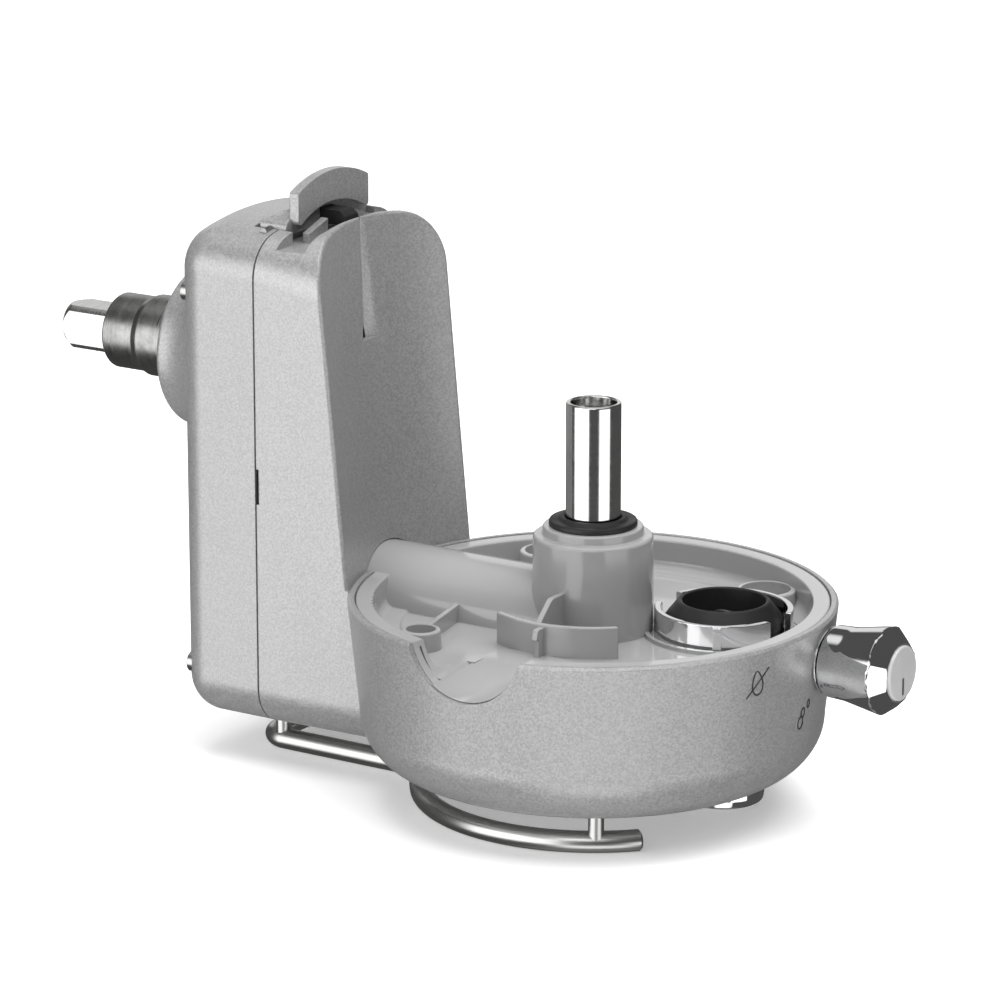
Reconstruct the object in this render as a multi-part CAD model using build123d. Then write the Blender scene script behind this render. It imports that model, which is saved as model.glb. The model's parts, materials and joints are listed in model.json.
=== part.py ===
from build123d import *
from math import atan2, cos, degrees, radians, sin, sqrt
import os

# Drive base of a juicing and food-processing attachment for a stand mixer, in millimetres.
# Everything is drawn with Z = 0 at the bowl's rim and the bowl's axis at X = Y = 0, +Y towards the gear tower.
# At the end each piece moves so that the origin is the middle of the base, on the surface it stands on.

# Driving dimensions: bowl housing
RIM_R = 90.0
SHELL = 2.6
BOWL_FLOOR_Z = -62.3
BOWL_OUTLINE = [(88.0, -20.0), (85.7, -42.0), (85.2, BOWL_FLOOR_Z)]
BOWL_CORNER_R = 20.0
NOTCH_R = 24.0
NOTCH_Z = 6.0

# Tray inside the bowl
TRAY_FLOOR_Z = -12.0
TRAY_SKIN = 2.2
TRAY_WALL_R = 80.3
TRAY_RIM_Z = -0.3
HUB_R = 22.5
HUB_TOP_Z = 24.0
HUB_RING_R = 18.4
HUB_RING_Z = 27.3
TUBE_R = 22.0
TUBE_END_Y = 94.0
ARC_WALL_R = 39.5
ARC_WALL_FROM = 153.0
ARC_WALL_TO = 225.0

# Gear tower
SEAM_Y = 120.5
GASKET_T = 0.6
REAR_Y = 158.0
TOWER_W = 86.0
TOWER_TOP_Z = 130.0
TOWER_SHOULDER_Z = 123.5
TOWER_FOOT_Z = -61.0
TOWER_WALL = 3.0
FRONT_EDGE_R = 1.4
FACE_LEAN = 0.09
REAR_CORNER_R = 13.0
RECESS_Z = 122.5
RECESS_Y = (102.5, 114.0)
POCKET_HALF_X = 26.6
POCKET_Y = (113.5, 131.6)

# Shafts, gears and their running clearance
HUB_AXIS_Z = 72.5
LAY_AXIS_Z = -15.0
IDLER_AXIS_Z = 28.75
GEAR_MODULE = 1.75
INPUT_TEETH = 20
IDLER_TEETH = 30
PINION_TEETH = 18
BEVEL_TEETH = 24
GEAR_Y = (123.0, 133.0)
RUN_GAP = 0.05
INPUT_R = 8.0
LAY_R = 6.0
IDLER_PIN_R = 5.0
SPINDLE_R = 10.1
SPINDLE_RUN_R = 9.5
SPINDLE_FOOT_R = 8.0
SPINDLE_TOP_Z = 73.5
SPINDLE_FOOT_Z = -57.0

# Mixer hub connection
BOSS_R = 31.5
BOSS_END_Y = 175.0
SLEEVE_R = 15.7
SLEEVE_SEAT_R = 16.2
SLEEVE_NOSE_R = 14.5
SLEEVE_BORE_R = 11.0
SLEEVE_END_Y = 213.0
SQUARE_END_Y = 236.5
SQUARE_FLATS = 16.6
SQUARE_CORNER_R = 10.5

# Juice tap
TAP_X = 20.3
TAP_Y = -43.8
TAP_BORE_R = 12.0
RING_R = 25.5
RING_T = 2.4
RING_TOP_Z = -2.0
GASKET_HOLE_R = 15.3
NOZZLE_R = 15.7
NOZZLE_FOOT_Z = -75.4
STEM_R = 3.0
FLAP_R = 11.5
KNOB_FACE_Y = -118.5
KNOB_BACK_Y = -89.6
KNOB_R = 16.5
KNOB_BACK_R = 13.4

# Latch
PIVOT_Y = 124.5
PIVOT_Z = 127.0
PIVOT_R = 1.5
FIN_HALF_X = 22.7
FIN_Y = (114.0, 118.0)

# Wire stand
WIRE_R = 4.0
WIRE_Z = -73.0
WIRE_LOOP_R = 63.5
WIRE_LEG_X = 16.5
WIRE_BACK_Y = 136.0
FRONT_POST = (53.8, -35.3)
REAR_POST = (WIRE_LEG_X, 128.0)
POST_R = 2.85

# The base's origin: half way along its length, on the surface
MIDDLE_Y = (SQUARE_END_Y + KNOB_FACE_Y) / 2
GROUND_Z = WIRE_Z - WIRE_R


def along_z(radius, low, high, x=0.0, y=0.0):
    """Upright cylinder between two heights."""
    return Pos(x, y, low) * Cylinder(radius, high - low, align=(Align.CENTER, Align.CENTER, Align.MIN))


def along_y(radius, near, far, x=0.0, z=0.0):
    """Cylinder whose axis points along +Y."""
    rod = Cylinder(radius, far - near, align=(Align.CENTER, Align.CENTER, Align.MIN))
    return Pos(x, near, z) * Rot(-90, 0, 0) * rod


def along_x(radius, left, right, y=0.0, z=0.0):
    """Cylinder whose axis points along +X."""
    rod = Cylinder(radius, right - left, align=(Align.CENTER, Align.CENTER, Align.MIN))
    return Pos(left, y, z) * Rot(0, 90, 0) * rod


def block(x, y, z):
    """Box between pairs of limits."""
    size = Box(x[1] - x[0], y[1] - y[0], z[1] - z[0], align=(Align.MIN, Align.MIN, Align.MIN))
    return Pos(x[0], y[0], z[0]) * size


def ring_z(outer, inner, low, high, x=0.0, y=0.0):
    """Upright ring."""
    return along_z(outer, low, high, x, y) - along_z(inner, low - 1, high + 1, x, y)


def ring_y(outer, inner, near, far, x=0.0, z=0.0):
    """Ring whose axis points along +Y."""
    return along_y(outer, near, far, x, z) - along_y(inner, near - 1, far + 1, x, z)


def outline(points, radii):
    """Flat face inside a closed line with one corner radius for each point."""
    return make_face(FilletPolyline(*points, radius=radii, close=True))


def turned(points, radii, x=0.0, y=0.0):
    """Solid of revolution about an upright axis; the points are (radius, height)."""
    return Pos(x, y, 0) * revolve(Plane.XZ * outline(points, radii), Axis.Z)


def turned_y(points, radii, x=0.0, z=0.0):
    """Solid of revolution about an axis along Y; the points are (radius, place along Y)."""
    section = Plane.XY * outline(points, radii)
    return Pos(x, 0, z) * revolve(section, Axis.Y)


def prism_x(points, radii, left, right):
    """Outline in the YZ plane, carried along X."""
    return extrude(Plane.YZ.offset(left) * outline(points, radii), right - left)


def prism_y(points, radii, near, far):
    """Outline in the XZ plane, carried along Y."""
    return extrude(Plane.XZ.offset(-far) * outline(points, radii), far - near)


def at_angle(radius, angle):
    """Point on a circle about the bowl's axis."""
    return radius * cos(radians(angle)), radius * sin(radians(angle))


# Housings

def bowl_body(inset=0.0, top=0.0, bevel=0.0):
    """Solid bowl shape; a negative inset makes it larger."""
    side = [(r - inset, z) for r, z in BOWL_OUTLINE[:2]]
    foot = (BOWL_OUTLINE[2][0] - inset, BOWL_FLOOR_Z + max(inset, 0.0))
    rim = [(RIM_R - inset - bevel, top), (RIM_R - inset, top - bevel)] if bevel else [(RIM_R - inset, top)]
    points = [(0, top)] + rim + side + [foot, (0, foot[1])]
    return turned(points, [0] * len(rim) + [0, 30, 0, BOWL_CORNER_R - max(inset, 0.0), 0])


def notch():
    """Round cut in the left wall of the bowl, where the pulp outlet rests."""
    return along_x(NOTCH_R, -RIM_R - 5, -60, 0, NOTCH_Z)


TRAY_PILLARS = [(45.0, 24.0), (-45.0, 24.0), (-44.0, -32.0)]


def bowl_housing():
    """Outer bowl with its rim lip, knob hole, shaft opening, spindle boss, nozzle hole and screw holes."""
    shell = bowl_body(bevel=1.0) - bowl_body(SHELL, 1.0)
    floor_z = BOWL_FLOOR_Z + SHELL
    shell += along_z(16, floor_z - 1, -50)
    shell -= along_z(11.05, floor_z + 0.6, -49)
    shell -= notch()
    shell -= along_y(TUBE_R + 0.3, 60, 100, 0, LAY_AXIS_Z)
    shell -= along_y(11.2, -95, -70, TAP_X, LAY_AXIS_Z)
    shell -= along_z(NOZZLE_R + 0.3, BOWL_FLOOR_Z - 1, floor_z + 1, TAP_X, TAP_Y)
    for x, y in TRAY_PILLARS:
        shell -= along_z(2.2, BOWL_FLOOR_Z - 1, floor_z + 1, x, y)
    for side in (-1, 1):
        shell -= along_z(1.7, BOWL_FLOOR_Z - 1, floor_z + 1, side * FRONT_POST[0], FRONT_POST[1])
    return shell


def tower_outline(inset=0.0, shoulder_r=16.0, half=TOWER_W / 2):
    """Tower section across Y: a crowned top, round shoulders and round lower corners."""
    left = half - inset
    top = TOWER_TOP_Z - inset
    side = TOWER_SHOULDER_Z - inset
    foot = TOWER_FOOT_Z + inset
    rim = [Line((-left, side), (-left, foot)), Line((-left, foot), (left, foot)), Line((left, foot), (left, side))]
    crown = ThreePointArc((left, side), (0, top), (-left, side))
    face = make_face(Curve() + rim + crown)
    lower = face.vertices().group_by(Axis.Y)[0]
    upper = face.vertices().group_by(Axis.Y)[-1]
    face = fillet(lower, 16.0 - inset)
    upper = face.vertices().filter_by(lambda v: abs(v.Y - side) < 0.01)
    return fillet(upper, shoulder_r - inset)


def tower_front_body(inset=0.0):
    """Front half of the tower: its shoulders grow rounder towards the bowl."""
    back = Plane.XZ.offset(-(SEAM_Y - GASKET_T / 2)) * tower_outline(inset, 16.0)
    front = Plane.XZ.offset(-74.0) * tower_outline(inset, 26.0, TOWER_W / 2 - 1.2)
    return loft([front, back])


def bowl_cutter(gap):
    """Everything in front of the tower: the bowl below its rim and a leaning cone above it."""
    high = 140.0
    cone = [(0, -1), (RIM_R + gap, -1), (RIM_R + gap + FACE_LEAN * high, high), (0, high)]
    return turned(cone, [0, 0, 0, 0]) + bowl_body(-gap) + along_z(66.0 + gap, -70, -50)


def tower_front_skin():
    """Outer form of the tower's front half, hollowed to the bowl, with round front edges above the rim."""
    room = block((-50, 50), (60, SEAM_Y), (-1, 135))
    upper = (tower_front_body() & room) - bowl_cutter(0.25)
    edges = upper.edges().filter_by(lambda e: e.center().Z > 1 and e.bounding_box().max.Y < 102.5)
    return fillet(edges, FRONT_EDGE_R) + ((tower_front_body() - room) - bowl_cutter(0.25))


def index_groove():
    """V groove in the front face that runs out upwards, with a pointed lower end."""
    low_y = RIM_R + FACE_LEAN * 84.0
    high_y = RIM_R + FACE_LEAN * 129.0
    low = Plane.XY.offset(84.0) * outline([(-8, low_y - 1), (8, low_y - 1), (0, low_y + 3.6)], [0, 0, 0.8])
    high = Plane.XY.offset(131.0) * outline([(-7, high_y - 1), (7, high_y - 1), (0, high_y + 0.9)], [0, 0, 0.4])
    return loft([low, high])


SCREW_SPOTS = [(x, z) for x in (-35.5, 35.5) for z in (102.0, -42.0)]


def roof_pocket():
    """Space under the latch lever and the slot across the tower's top in front of it."""
    slot = block((-60, 60), RECESS_Y, (RECESS_Z, 150))
    pocket = block((-POCKET_HALF_X, POCKET_HALF_X), POCKET_Y, (RECESS_Z, 150))
    return slot + pocket


def front_housing():
    """Front half of the gear tower."""
    seam = SEAM_Y - GASKET_T / 2
    body = tower_front_skin() & block((-50, 50), (72, seam), (-62, 131))
    roof = block((-33, 33), (98, seam), (116.5, 128))
    bosses = Part() + [along_y(5.5, 108, seam, x, z) for x, z in SCREW_SPOTS]
    cavity = tower_front_body(TOWER_WALL) - bowl_cutter(0.25 + TOWER_WALL)
    body -= cavity - roof - bosses
    body -= roof_pocket()
    body -= index_groove()
    body -= block((-8.5, 8.5), (103.5, 113.5), (118.4, 130))
    body -= along_y(TUBE_R + 0.3, 80, 97, 0, LAY_AXIS_Z)
    body -= block((-45, -41.6), (seam - 1.1, seam + 1), (26.5, 40.0))
    body += latch_rests()
    body -= along_x(PIVOT_R, -31, 31, PIVOT_Y, PIVOT_Z)
    for x, z in SCREW_SPOTS:
        body -= along_y(2.05, 110, seam + 1, x, z)
    return body


def latch_rests():
    """Two wedge-shaped stops under the lever's fin, one on each side of the well."""
    rest = [(9.0, RECESS_Z - 0.5), (21.0, RECESS_Z - 0.5), (21.0, 126.2), (9.0, 130.0)]
    mirror = [(-x, z) for x, z in reversed(rest)]
    return prism_y(rest, [0] * 4, 110.4, 113.4) + prism_y(mirror, [0] * 4, 110.4, 113.4)


def rear_housing():
    """Rear half of the gear tower with the flared hub boss."""
    seam = SEAM_Y + GASKET_T / 2
    body = extrude(Plane.XZ.offset(-seam) * tower_outline(), -(REAR_Y - seam))
    body = fillet(body.faces().sort_by(Axis.Y)[-1].edges(), REAR_CORNER_R)
    flare = [(0, 140), (41, 140), (41, 147), (BOSS_R, 166), (BOSS_R, BOSS_END_Y), (0, BOSS_END_Y)]
    body += turned_y(flare, [0, 0, 6, 22, 2.5, 0], 0, HUB_AXIS_Z) & block((-43, 43), (122, 180), (0, 130))
    cavity = extrude(Plane.XZ.offset(-(seam - 1)) * tower_outline(TOWER_WALL), -(REAR_Y - TOWER_WALL - seam + 1))
    cavity = fillet(cavity.faces().sort_by(Axis.Y)[-1].edges(), REAR_CORNER_R - TOWER_WALL)
    keep = block((-33, 33), (seam - 1, 135), (116.5, 128))
    keep += along_y(11, 140, 157, 0, LAY_AXIS_Z) + along_y(9, 141, 157, 0, IDLER_AXIS_Z)
    keep += Part() + [along_y(5.5, seam, 157, x, z) for x, z in SCREW_SPOTS]
    body -= cavity - keep
    body -= roof_pocket()
    body -= along_y(SLEEVE_SEAT_R + RUN_GAP, 150, 180, 0, HUB_AXIS_Z)
    body -= along_y(8.05, 139, 152, 0, LAY_AXIS_Z) + along_y(IDLER_PIN_R + 0.02, 139, 150, 0, IDLER_AXIS_Z)
    body -= along_x(PIVOT_R, -31, 31, PIVOT_Y, PIVOT_Z)
    body -= along_z(2.8, 117.5, 124, 0, 128.4)
    for side in (-1, 1):
        body -= along_z(1.6, -62, -57, side * REAR_POST[0], REAR_POST[1])
    for x, z in SCREW_SPOTS:
        body -= along_y(2.2, seam - 1, 160, x, z) + along_y(4.2, 153.5, 160, x, z)
    return body


def seam_gasket():
    """Thin gasket between the two halves, set in a little from the outside."""
    near = Plane.XZ.offset(-(SEAM_Y - GASKET_T / 2))
    gasket = extrude(near * tower_outline(0.5), -GASKET_T) - extrude(near * tower_outline(2.7), -GASKET_T)
    return gasket - roof_pocket()


def housing_screws():
    """Four screws that hold the tower's halves together."""
    screws = Part()
    for x, z in SCREW_SPOTS:
        screw = along_y(2.0, 112, 154, x, z) + along_y(4.0, 153.6, 156.4, x, z)
        screws += screw - Pos(x, 157.4, z) * Rot(90, 0, 0) * extrude(RegularPolygon(1.7, 6), 3.0)
    return screws


# Tray

def tray_tunnel(radius):
    """Bump over the tap's stem between the ring and the tray's wall."""
    return along_y(radius, -81.5, -70, TAP_X, LAY_AXIS_Z)


BOWL_SOCKETS = [(-55.0, 39.0, 7.2, 5.4, -5.0), (57.5, -40.0, 11.2, 9.2, -5.0), (49.0, 50.0, 11.2, 9.2, -2.0)]


def arc_wall():
    """Curved wall about the hub with a rib on each side of it."""
    wall = ring_z(ARC_WALL_R + 1.1, ARC_WALL_R - 1.1, TRAY_FLOOR_Z - 1, 0)
    reach = 60.0
    middle = (ARC_WALL_FROM + ARC_WALL_TO) / 2
    fan = [(0, 0)] + [at_angle(reach, a) for a in (ARC_WALL_FROM, middle, ARC_WALL_TO)]
    wall &= extrude(Plane.XY.offset(-20) * make_face(Polyline(*fan, close=True)), 30)
    wall = fillet(wall.edges().group_by(Axis.Z)[-1], 0.7)
    inner = [(-39.5, -13), (-20, -13), (-20, 6.5), (-30, 6.5), (-39.0, -1.5)]
    outer = [(-47.5, -13), (-40, -13), (-40, -1.2), (-44.5, -1.2)]
    ribs = prism_y(inner, [0, 0, 0, 4, 0], -1.6, 0.6) + prism_y(outer, [0, 0, 0, 1.5], -4.6, -2.4)
    return wall + ribs


def pour_trough():
    """Sloping channel from the hub's arc wall down to the notch: its skin and the space above it."""
    skin = prism_y([(-44, -12), (-90, -18), (-90, -20.4), (-44, -14.2)], [0] * 4, -21, 14.5)
    space = prism_y([(-44, -12), (-95, -18.6), (-95, -5), (-44, -5)], [0] * 4, -18.8, 12.6)
    inside = bowl_body(SHELL + 0.2)
    liner = along_x(NOTCH_R + TRAY_SKIN, -RIM_R, -80.5, 0, NOTCH_Z) & block((-95, -70), (-40, 40), (-30, TRAY_RIM_Z))
    return (skin & inside & along_z(86, -30, 0)) + (liner & inside), space & along_z(84.5, -30, 0)


def tray_skin():
    """The tray's floor, stepped wall and flange."""
    under = TRAY_FLOOR_Z - TRAY_SKIN
    points = [(0, under), (TRAY_WALL_R + 1.9, under), (TRAY_WALL_R + TRAY_SKIN, -2.5), (86.9, -2.5),
              (86.9, TRAY_RIM_Z), (TRAY_WALL_R + 0.3, TRAY_RIM_Z), (TRAY_WALL_R - 0.6, -11), (71, -11),
              (70, TRAY_FLOOR_Z), (0, TRAY_FLOOR_Z)]
    return turned(points, [0, 3, 0, 0, 0.5, 0.9, 3.5, 0.4, 0.4, 0])


def tray():
    """Grey inner tray: floor, wall, flange, hub, shaft cover, ribs and trough."""
    under = TRAY_FLOOR_Z - TRAY_SKIN
    body = tray_skin()
    cover = along_y(TUBE_R, 0, TUBE_END_Y, 0, LAY_AXIS_Z) & block((-30, 30), (0, 100), (under, 20))
    hub = [(0, under), (HUB_R, under), (HUB_R - 0.5, HUB_TOP_Z), (HUB_RING_R + 0.2, HUB_TOP_Z),
           (HUB_RING_R, HUB_RING_Z), (0, HUB_RING_Z)]
    body -= along_z(RING_R + 0.8, TRAY_FLOOR_Z, TRAY_FLOOR_Z + 3, TAP_X, TAP_Y)
    body += cover
    body += turned(hub, [0, 0, 1.4, 0.6, 0.8, 0])
    trough, trough_space = pour_trough()
    body += trough
    body += Pos(-55, 39, 0) * Rot(0, 0, 12) * block((6, 36), (-1, 1), (TRAY_FLOOR_Z - 1, -5.6))
    body += tray_tunnel(5.4) & along_z(81, under, 0)
    body += ring_z(29.5, 27.6, TRAY_FLOOR_Z - 1, -10.6, TAP_X, TAP_Y) - along_z(21, -14, 0)
    body += arc_wall()
    body -= along_y(TUBE_R - TRAY_SKIN, 0, TUBE_END_Y + 1, 0, LAY_AXIS_Z)
    body -= along_z(HUB_R - TRAY_SKIN - 0.5, under - 1, 4)
    body -= along_z(13.05, 3, HUB_RING_Z + 1)
    for x, y, _, hole_r, top in BOWL_SOCKETS:
        body -= along_z(hole_r + 0.5, -11.0, top + 1, x, y)
    body -= notch() & along_z(100, -40, 10)
    body -= trough_space
    body -= tray_tunnel(STEM_R + 0.5) + along_y(STEM_R + 0.5, -95, -60, TAP_X, LAY_AXIS_Z)
    body -= along_z(22.3, under - 1, -5, TAP_X, TAP_Y)
    return body


def bowl_sockets():
    """Round sockets on the tray's floor that take the feet of the juicing bowl."""
    sockets = Part()
    for x, y, radius, hole_r, top in BOWL_SOCKETS:
        cup = turned([(0, TRAY_FLOOR_Z), (radius + 0.4, TRAY_FLOOR_Z), (radius, top), (0, top)], [0, 0, 0.9, 0], x, y)
        sockets += cup - along_z(hole_r, -11.0, top + 1, x, y)
    return sockets - tray()


def tray_pillars():
    """Pillars that carry the tray above the bowl's floor."""
    top = TRAY_FLOOR_Z - TRAY_SKIN
    pillars = Part()
    for x, y in TRAY_PILLARS:
        pillars += ring_z(4.5, 1.95, BOWL_FLOOR_Z + SHELL, top, x, y)
    return pillars


def tray_screws():
    """Pan-head screws that go up through the bowl into the pillars."""
    screws = Part()
    for x, y in TRAY_PILLARS:
        head = turned([(0, -64.4), (3.9, -64.4), (3.9, BOWL_FLOOR_Z), (0, BOWL_FLOOR_Z)], [0, 1.4, 0, 0], x, y)
        slots = block((x - 2.2, x + 2.2), (y - 0.4, y + 0.4), (-65, -63.4))
        slots += block((x - 0.4, x + 0.4), (y - 2.2, y + 2.2), (-65, -63.4))
        screws += head + along_z(1.9, BOWL_FLOOR_Z - 0.2, -48, x, y) - slots
    return screws


# Gears

def spur_gear(teeth, bore, near, far, height):
    """Spur gear about an axis along Y, with straight-flanked teeth and room for backlash."""
    pitch_r = GEAR_MODULE * teeth / 2
    step = 360.0 / teeth
    points = []
    for tooth in range(teeth):
        middle = tooth * step
        for radius, half in ((pitch_r - 2.1, 1.5), (pitch_r, 1.15), (pitch_r + 1.45, 0.5)):
            points.append((radius, middle - degrees(half / radius)))
        for radius, half in ((pitch_r + 1.45, 0.5), (pitch_r, 1.15), (pitch_r - 2.1, 1.5)):
            points.append((radius, middle + degrees(half / radius)))
    ring = make_face(Polyline(*[at_angle(r, a) for r, a in points], close=True))
    body = extrude(Plane.XZ.offset(-far) * ring, far - near)
    body = Pos(0, 0, height) * body
    web = ring_y(pitch_r - 4.5, bore + 4.5, near - 1, near + 2.5, 0, height)
    web += ring_y(pitch_r - 4.5, bore + 4.5, far - 2.5, far + 1, 0, height)
    return body - web - along_y(bore, near - 1, far + 1, 0, height)


def bevel_gear_body(teeth, mate_teeth, first_angle, bore, hub_len):
    """Bevel gear about Z with its cone's tip at the origin and its teeth facing up towards it."""
    pitch_r = GEAR_MODULE * teeth / 2
    depth = GEAR_MODULE * mate_teeth / 2
    length = sqrt(pitch_r ** 2 + depth ** 2)
    inner = (length - 8.0) / length
    out = Vector(pitch_r / length, 0, -depth / length)
    up = Vector(depth / length, 0, pitch_r / length)
    tip = Vector(pitch_r, 0, -depth)
    root = tip - up * 2.0
    root_in = root * inner
    points = [(bore, root.Z - hub_len), (root.X - 3, root.Z - hub_len), (root.X, root.Z), (root_in.X, root_in.Z),
              (bore, root_in.Z)]
    body = revolve(Plane.XZ * make_face(Polyline(*points, close=True)), Axis.Z)
    large = Plane(origin=tip, x_dir=(0, 1, 0), z_dir=out)
    flank = [(-1.5, -2.4), (-1.1, 0), (-0.5, 1.4), (0.5, 1.4), (1.1, 0), (1.5, -2.4)]
    side = 1.0 if (large.y_dir.dot(up) > 0) else -1.0
    face = make_face(Polyline(*[(x, side * z) for x, z in flank], close=True))
    wide = large * face
    narrow = Plane(origin=tip * inner, x_dir=(0, 1, 0), z_dir=out) * scale(face, inner)
    tooth = loft([narrow, wide])
    step = 360.0 / teeth
    for index in range(teeth):
        body += Rot(0, 0, first_angle + index * step) * tooth
    return body


def gear_plate():
    """Steel plate in the front half that holds the idler pin and the front bushes."""
    plate = prism_y([(-22, -32), (22, -32), (26, 28), (22, 92), (-22, 92), (-26, 28)], [10, 10, 20, 10, 10, 20], 112, 115)
    plate -= along_y(11.05, 111, 116, 0, HUB_AXIS_Z) + along_y(9.05, 111, 116, 0, LAY_AXIS_Z)
    plate -= along_y(IDLER_PIN_R + 0.02, 111, 116, 0, IDLER_AXIS_Z)
    return plate


def bush_y(inner, outer, flange, near, far, z):
    """Flanged plain bush along Y, flange at the near end."""
    return ring_y(outer, inner + RUN_GAP, near, far, 0, z) + ring_y(flange, inner + RUN_GAP, near - 1.5, near, 0, z)


def input_bushes():
    """Plain bushes for the input shaft: one in the plate, two in the sleeve."""
    front = bush_y(INPUT_R, 11.0, 13.0, 112, 118, HUB_AXIS_Z)
    middle = ring_y(SLEEVE_BORE_R - 0.05, INPUT_R + RUN_GAP, 152, 164, 0, HUB_AXIS_Z)
    return front + middle + ring_y(SLEEVE_BORE_R - 0.05, INPUT_R + RUN_GAP, 198, 211, 0, HUB_AXIS_Z)


def layshaft_bushes():
    """Plain bushes for the layshaft: in the plate, the rear wall and the pinion block."""
    front = bush_y(LAY_R, 9.0, 11.0, 112, 118, LAY_AXIS_Z)
    rear = ring_y(8.0, LAY_R + RUN_GAP, 140, 151, 0, LAY_AXIS_Z)
    return front + rear + ring_y(8.0, LAY_R + RUN_GAP, 27, 37, 0, LAY_AXIS_Z)


def pinion_block():
    """Bearing block on the bowl's floor behind the bevel pinion."""
    foot = BOWL_FLOOR_Z + SHELL
    section = [(-18, foot), (18, foot), (12, foot + 8), (12, LAY_AXIS_Z), (-12, LAY_AXIS_Z), (-12, foot + 8)]
    body = prism_y(section, [0] * 6, 27, 37) + along_y(12, 27, 37, 0, LAY_AXIS_Z)
    return body - along_y(8.05, 20, 40, 0, LAY_AXIS_Z)


def idler_pin():
    """Fixed pin that the idler gear turns on."""
    return along_y(IDLER_PIN_R, 112, 149, 0, IDLER_AXIS_Z) + along_y(7, 110.5, 112, 0, IDLER_AXIS_Z)


def idler_bush():
    """Bush pressed into the idler gear."""
    return ring_y(8.0, IDLER_PIN_R + RUN_GAP, GEAR_Y[0] - 1, GEAR_Y[1] + 1, 0, IDLER_AXIS_Z)


def hub_sleeve():
    """Steel sleeve that plugs into the mixer's hub, flanged inside the housing, with a tapered nose."""
    points = [(SLEEVE_BORE_R, 150.5), (19.5, 150.5), (19.5, 154.8), (SLEEVE_SEAT_R, 154.8),
              (SLEEVE_SEAT_R, BOSS_END_Y), (SLEEVE_R, BOSS_END_Y), (SLEEVE_R, 196),
              (SLEEVE_NOSE_R, 199), (SLEEVE_NOSE_R, SLEEVE_END_Y), (SLEEVE_BORE_R, SLEEVE_END_Y)]
    return turned_y(points, [0, 0.5, 0, 0, 0, 0, 0, 0, 1.0, 0.5], 0, HUB_AXIS_Z)


def input_shaft():
    """Input shaft from the gear plate out to the square drive at the mixer's hub."""
    shaft = along_y(INPUT_R, 111, SLEEVE_END_Y + 1.5, 0, HUB_AXIS_Z)
    points = [(0, SLEEVE_END_Y + 0.8), (9.6, SLEEVE_END_Y + 0.8), (SQUARE_CORNER_R, SLEEVE_END_Y + 2.2),
              (SQUARE_CORNER_R, SQUARE_END_Y - 3.5), (8.2, SQUARE_END_Y), (0, SQUARE_END_Y)]
    drive = turned_y(points, [0, 0.4, 0.4, 1.0, 0.8, 0], 0, HUB_AXIS_Z)
    half = SQUARE_FLATS / 2
    drive &= block((-half, half), (200, 240), (HUB_AXIS_Z - half, HUB_AXIS_Z + half))
    return shaft + drive - ring_y(9, 7.2, 119.9, 121.1, 0, HUB_AXIS_Z)


def clip_y(shaft_r, near, z):
    """Open retaining ring in a shaft's groove."""
    ring = ring_y(shaft_r + 2.2, shaft_r - 0.75, near, near + 1.0, 0, z)
    return ring - block((-1.6, 1.6), (near - 1, near + 2), (z - shaft_r - 4, z))


def layshaft():
    """Layshaft from the output gear forward to the bevel pinion."""
    shaft = along_y(LAY_R, 13.4, 149, 0, LAY_AXIS_Z)
    return shaft - ring_y(7, 5.2, 119.9, 121.1, 0, LAY_AXIS_Z)


def bevel_pinion():
    """Bevel pinion on the layshaft, in mesh with the spindle's bevel gear."""
    cone = bevel_gear_body(PINION_TEETH, BEVEL_TEETH, 180.0 / PINION_TEETH, LAY_R + 0.02, 2.5)
    return Pos(0, 0, LAY_AXIS_Z) * Rot(90, 0, 0) * cone


def bevel_gear():
    """Bevel gear on the spindle."""
    cone = bevel_gear_body(BEVEL_TEETH, PINION_TEETH, 180.0 / BEVEL_TEETH, SPINDLE_FOOT_R + 0.02, 7.0)
    return Pos(0, 0, LAY_AXIS_Z) * cone


# Spindle

def spindle():
    """Polished hollow spindle that drives the auger."""
    points = [(0, SPINDLE_FOOT_Z), (SPINDLE_FOOT_R, SPINDLE_FOOT_Z), (SPINDLE_FOOT_R, -24.8), (SPINDLE_RUN_R, -24.8),
              (SPINDLE_RUN_R, 31), (SPINDLE_R, 31), (SPINDLE_R, SPINDLE_TOP_Z), (8.4, SPINDLE_TOP_Z),
              (8.4, SPINDLE_TOP_Z - 9), (4.2, SPINDLE_TOP_Z - 9), (4.2, 20), (0, 20)]
    return turned(points, [0, 0.8, 0, 0.3, 0, 0, 0.7, 0.5, 0, 0, 0, 0])


def spindle_screw():
    """Socket-head screw down inside the spindle."""
    head = along_z(6.4, SPINDLE_TOP_Z - 9, SPINDLE_TOP_Z - 5.2)
    socket = extrude(Plane.XY.offset(SPINDLE_TOP_Z - 8) * RegularPolygon(3.3, 6), 4)
    return fillet(head.edges().group_by(Axis.Z)[-1], 0.6) + along_z(4.15, 40, SPINDLE_TOP_Z - 8.9) - socket


def spindle_bushes():
    """Upper bush in the tray's hub and lower bush in the bowl's floor."""
    upper = ring_z(13.0, SPINDLE_RUN_R + RUN_GAP, 5, 26.5)
    return upper + ring_z(11.0, SPINDLE_FOOT_R + RUN_GAP, -58.6, -50)


def spindle_seal():
    """Black lip seal round the spindle on top of the hub."""
    points = [(SPINDLE_R + 0.35, HUB_RING_Z), (16.2, HUB_RING_Z), (16.2, 29.5), (12.2, 29.5), (11.4, 30.6),
              (SPINDLE_R + 0.35, 30.6)]
    return turned(points, [0, 0.3, 0.6, 0.4, 0.3, 0.2])


def thrust_collar():
    """Collar that carries the bevel gear on the lower bush."""
    return ring_z(12.5, SPINDLE_FOOT_R + 0.02, -49.9, -39.5)


# Tap

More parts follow.
